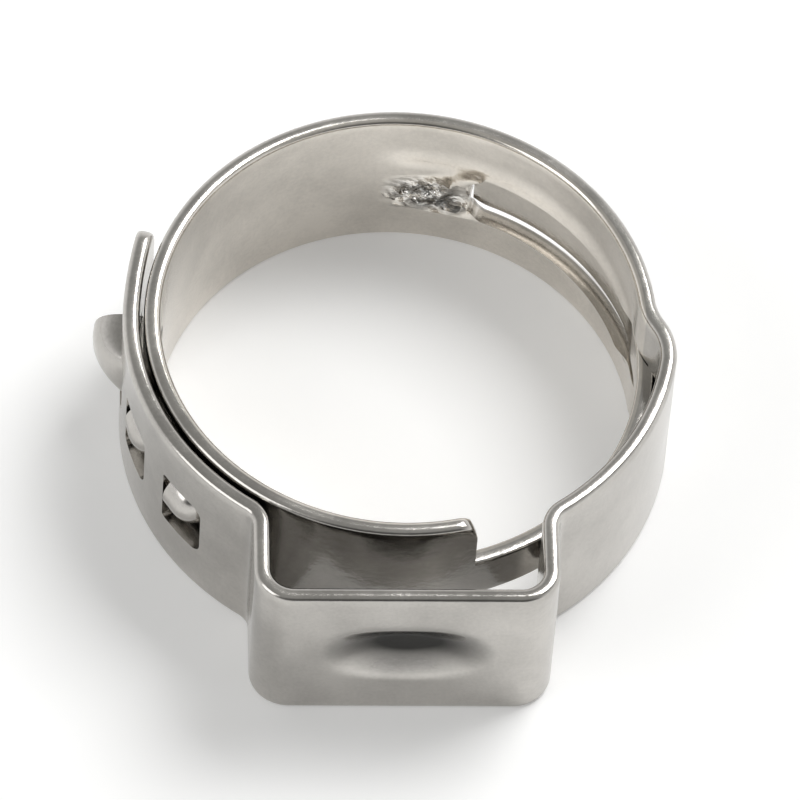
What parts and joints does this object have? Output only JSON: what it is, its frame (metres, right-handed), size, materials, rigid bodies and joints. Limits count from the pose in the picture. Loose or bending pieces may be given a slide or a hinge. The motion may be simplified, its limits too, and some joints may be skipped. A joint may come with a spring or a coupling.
{
  "type": "ear hose clamp",
  "caption": "Narrow-band stepless ear clamp for a soft hose: one folded steel strip with a pinch ear, a tongue in a slot and lanced hooks in windows.",
  "frame": {"origin": "on the bore axis, in the plane of the lower band edge", "axes": "+Z along the bore axis, -Y out through the crown of the ear, +X towards the joggle"},
  "size_m": [0.0207, 0.021, 0.007],
  "materials": {
    "band_steel": "tumbled satin stainless steel with bright rounded edges and fine scuffs"
  },
  "bodies": {
    "root": {"ear_clamp_band": "band_steel"}
  },
  "joints": []
}
